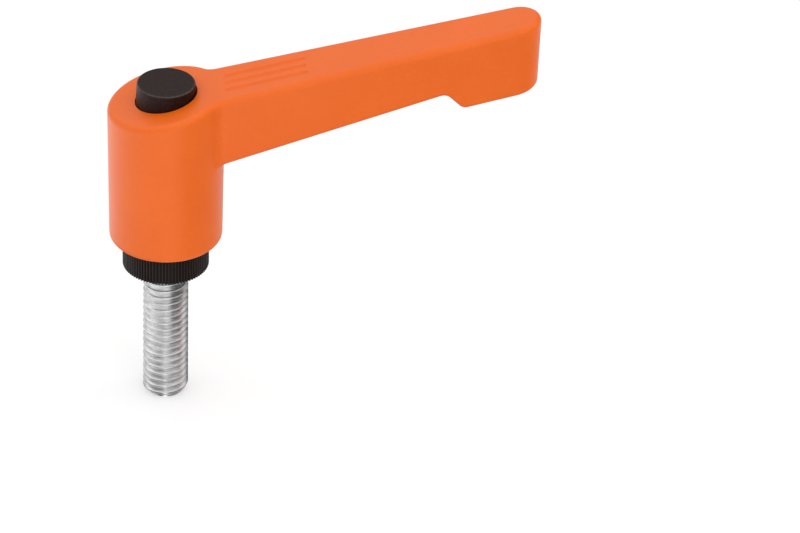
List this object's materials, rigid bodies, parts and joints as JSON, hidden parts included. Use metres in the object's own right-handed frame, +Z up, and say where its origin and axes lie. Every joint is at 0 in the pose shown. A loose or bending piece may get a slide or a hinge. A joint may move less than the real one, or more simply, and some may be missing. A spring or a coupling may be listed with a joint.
{
  "type": "adjustable clamping lever",
  "caption": "Clamping lever with a sloping arm, a push button that frees the toothed clutch, a serrated collar and a threaded stud.",
  "frame": {"origin": "centre of the collar's clamping face, on the stud's axis, where the thread leaves the collar", "axes": "+Z up the stud's axis to the button, +X from the axis along the arm, +Y across the arm"},
  "size_m": [0.0886, 0.0242, 0.0885],
  "materials": {
    "orange_nylon": "fine matte texture",
    "black_nylon": "fine matte texture",
    "black_insert": "satin black",
    "zinc_plated_steel": "bright zinc plated",
    "clutch_steel": "plain, oiled",
    "spring_steel": "bright wire"
  },
  "bodies": {
    "insert": {"threaded_stud": "zinc_plated_steel", "serrated_bush": "black_insert", "return_spring": "spring_steel", "retaining_washer": "zinc_plated_steel", "retaining_screw": "zinc_plated_steel"},
    "lever": {"lever_body": "orange_nylon"},
    "button": {"push_button": "black_nylon"},
    "clutch": {"clutch_ring": "clutch_steel"}
  },
  "joints": [
    {"name": "lever_turn", "type": "hinge", "parent": "insert", "child": "lever", "pos_m": [0, 0, 0], "axis": [0, 0, 1], "continuous": true},
    {"name": "button_press", "type": "slide", "parent": "lever", "child": "button", "axis": [0, 0, -1], "range_m": [0, 0.0033], "stiffness_N_per_m": 1200, "springref_m": -0.003},
    {"name": "clutch_slide", "type": "slide", "parent": "insert", "child": "clutch", "axis": [0, 0, -1], "range_m": [0, 0.0033], "deforming": ["return_spring"]}
  ],
  "couplings": [
    {"joint": "clutch_slide", "follows": "button_press", "ratio": 1}
  ]
}
